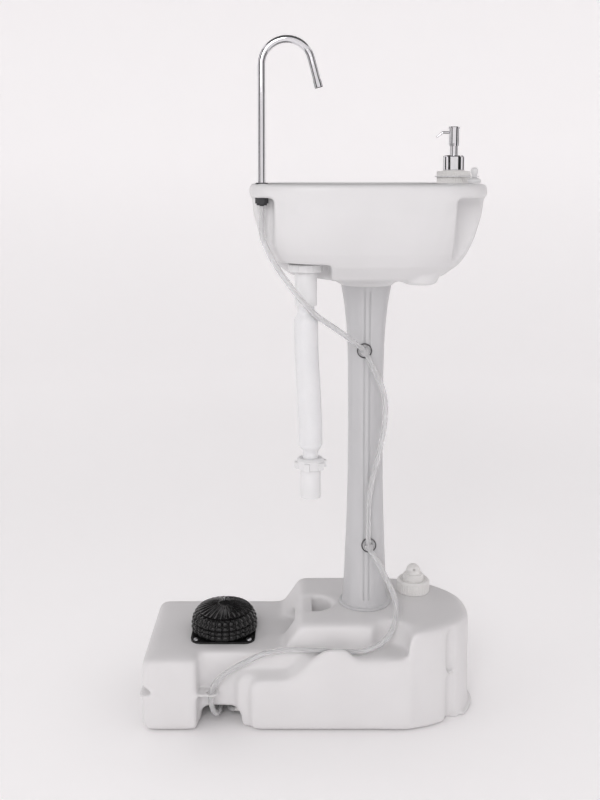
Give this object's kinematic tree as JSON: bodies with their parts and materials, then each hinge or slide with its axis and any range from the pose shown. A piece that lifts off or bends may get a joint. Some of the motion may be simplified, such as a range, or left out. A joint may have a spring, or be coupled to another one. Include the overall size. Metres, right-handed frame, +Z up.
{
  "type": "portable wash stand",
  "caption": "Portable hand-wash stand: foot-pump water tank, pedestal, basin, gooseneck tap, soap pump, stopper and hanging waste hose.",
  "frame": {"origin": "on the floor, straight under the pedestal's axis", "axes": "+X to the user's right, +Y away from the user, +Z up"},
  "size_m": [0.5062, 0.3614, 1.0098],
  "materials": {
    "tank_plastic": "satin blow-moulded polyethylene",
    "basin_plastic": "satin blow-moulded polyethylene",
    "pedestal_plastic": "satin blow-moulded polyethylene",
    "cap_plastic": "matt moulded plastic, warm white",
    "white_plastic": "semi-gloss moulded plastic",
    "waste_plastic": "translucent milky hose",
    "clear_pvc": "clear soft vinyl",
    "black_rubber": "satin black rubber",
    "grey_rubber": "matt grey rubber",
    "black_plastic": "satin black plastic",
    "steel": "zinc plated",
    "chrome": "polished chrome"
  },
  "bodies": {
    "root": {"tank_shell": "tank_plastic", "pump_flange": "black_rubber", "pump_screws": "steel", "pump_base": "black_plastic", "pump_inlet_valve": "grey_rubber", "pump_outlet_valve": "grey_rubber", "pump_bellows": "black_rubber", "pump_spring": "steel", "tank_outlet": "cap_plastic", "suction_hose": "clear_pvc", "water_hose": "clear_pvc", "upper_hose_clip": "clear_pvc", "lower_hose_clip": "clear_pvc", "pedestal": "pedestal_plastic", "basin": "basin_plastic", "drain_strainer": "chrome", "drain_gasket": "grey_rubber", "drain_nut": "white_plastic", "tail_pipe": "white_plastic", "waste_hose": "waste_plastic", "waste_hose_end": "white_plastic", "tap_bush": "black_plastic", "tap_nut": "black_plastic", "tap_hose_barb": "black_plastic", "soap_bottle": "cap_plastic", "soap_collar": "cap_plastic", "soap_closure": "chrome", "soap_dip_tube": "cap_plastic", "soap_spring": "steel"},
    "fill_cap": {"fill_cap": "cap_plastic", "fill_cap_gasket": "grey_rubber"},
    "vent_plug": {"vent_plug": "cap_plastic"},
    "pump_tread": {"pump_tread": "black_rubber"},
    "waste_nut": {"waste_hose_nut": "white_plastic"},
    "tap": {"tap_spout": "chrome"},
    "soap_plunger": {"soap_plunger": "chrome"},
    "soap_head": {"soap_head": "chrome"},
    "stopper": {"basin_stopper": "white_plastic", "stopper_strap": "white_plastic"}
  },
  "joints": [
    {"name": "tap_swivel", "type": "hinge", "parent": "root", "child": "tap", "pos_m": [-0.155, -0.118, 0.805], "axis": [0, 0, 1], "range_deg": [-60, 120]},
    {"name": "pump_press", "type": "slide", "parent": "root", "child": "pump_tread", "axis": [0, 0, -1], "range_m": [0, 0.02], "stiffness_N_per_m": 1500, "springref_m": -0.001, "deforming": ["pump_bellows", "pump_spring"]},
    {"name": "soap_press", "type": "slide", "parent": "root", "child": "soap_plunger", "axis": [0, 0, -1], "range_m": [0, 0.01], "stiffness_N_per_m": 400, "springref_m": -0.002, "deforming": ["soap_spring"]},
    {"name": "soap_nozzle_turn", "type": "hinge", "parent": "soap_plunger", "child": "soap_head", "pos_m": [0.138, 0.04, 0.87], "axis": [0, 0, 1], "continuous": true},
    {"name": "fill_cap_lift", "type": "slide", "parent": "root", "child": "fill_cap", "axis": [0, 0, 1], "range_m": [0, 0.04]},
    {"name": "vent_plug_pull", "type": "slide", "parent": "fill_cap", "child": "vent_plug", "axis": [0, 0, 1], "range_m": [0, 0.012]},
    {"name": "stopper_lift", "type": "slide", "parent": "root", "child": "stopper", "axis": [0, 0, 1], "range_m": [0, 0.012]},
    {"name": "waste_nut_turn", "type": "hinge", "parent": "root", "child": "waste_nut", "pos_m": [-0.086, -0.08, 0.396], "axis": [0, 0, 1], "continuous": true}
  ]
}
